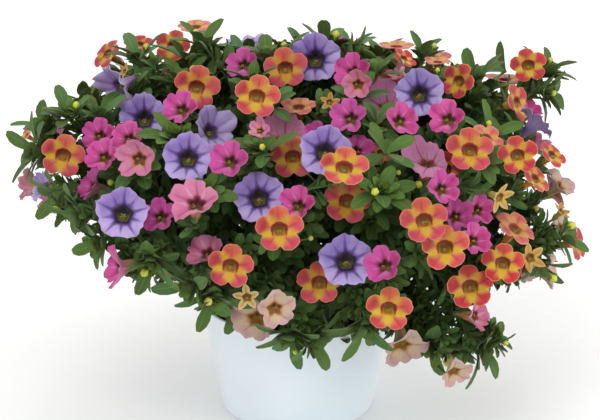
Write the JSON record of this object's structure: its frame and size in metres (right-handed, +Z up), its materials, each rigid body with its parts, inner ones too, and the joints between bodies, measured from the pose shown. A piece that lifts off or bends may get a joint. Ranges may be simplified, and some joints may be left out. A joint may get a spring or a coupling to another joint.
{
  "type": "potted calibrachoa",
  "caption": "Calibrachoa in full flower in a plain tapered pot: a mounded plant of small trumpet blooms and leafy shoots, each on a stem that rises from the soil.",
  "frame": {"origin": "centre of the pot's foot, on the surface that it stands on", "axes": "+Z up, +X along the plant's widest spread, -Y towards the show side"},
  "size_m": [0.3793, 0.2984, 0.2681],
  "materials": {
    "pot_white": "smooth cool white moulded plastic with a soft gloss",
    "soil_dark": "moist crumbly potting compost, rough, with pale grit",
    "petal_orange": "thin matt petals, coral red with a yellow star and a dark red throat ring",
    "petal_violet": "thin matt petals, lavender with darker veins and a purple-black eye",
    "petal_pink": "thin matt petals, hot pink with paler seams and a dark throat",
    "foliage_green": "small soft downy leaves and slim green stems"
  },
  "bodies": {
    "root": {"orange_spray_01": "petal_orange", "orange_spray_02": "petal_orange", "orange_spray_03": "petal_orange", "orange_spray_04": "petal_orange", "orange_spray_05": "petal_orange", "orange_spray_06": "petal_orange", "orange_spray_07": "petal_orange", "orange_spray_08": "petal_orange", "orange_spray_09": "petal_orange", "orange_spray_10": "petal_orange", "orange_spray_11": "petal_orange", "orange_spray_12": "petal_orange", "orange_spray_13": "petal_orange", "orange_spray_14": "petal_orange", "orange_spray_15": "petal_orange", "orange_spray_16": "petal_orange", "violet_spray_01": "petal_violet", "violet_spray_02": "petal_violet", "violet_spray_03": "petal_violet", "violet_spray_04": "petal_violet", "violet_spray_05": "petal_violet", "violet_spray_06": "petal_violet", "violet_spray_07": "petal_violet", "pink_spray_01": "petal_pink", "pink_spray_02": "petal_pink", "pink_spray_03": "petal_pink", "pink_spray_04": "petal_pink", "pink_spray_05": "petal_pink", "pink_spray_06": "petal_pink", "pink_spray_07": "petal_pink", "pink_spray_08": "petal_pink", "pink_spray_09": "petal_pink", "pink_spray_10": "petal_pink", "pink_spray_11": "petal_pink", "pink_spray_12": "petal_pink", "pink_spray_13": "petal_pink", "pink_spray_14": "petal_pink", "leafy_shoot_01": "foliage_green", "leafy_shoot_02": "foliage_green", "leafy_shoot_03": "foliage_green", "leafy_shoot_04": "foliage_green", "leafy_shoot_05": "foliage_green", "leafy_shoot_06": "foliage_green", "leafy_shoot_07": "foliage_green", "leafy_shoot_08": "foliage_green", "leafy_shoot_09": "foliage_green", "leafy_shoot_10": "foliage_green", "leafy_shoot_11": "foliage_green", "leafy_shoot_12": "foliage_green", "leafy_shoot_13": "foliage_green", "leafy_shoot_14": "foliage_green", "leafy_shoot_15": "foliage_green", "leafy_shoot_16": "foliage_green", "leafy_shoot_17": "foliage_green", "leafy_shoot_18": "foliage_green", "pot": "pot_white", "soil": "soil_dark"}
  },
  "joints": []
}
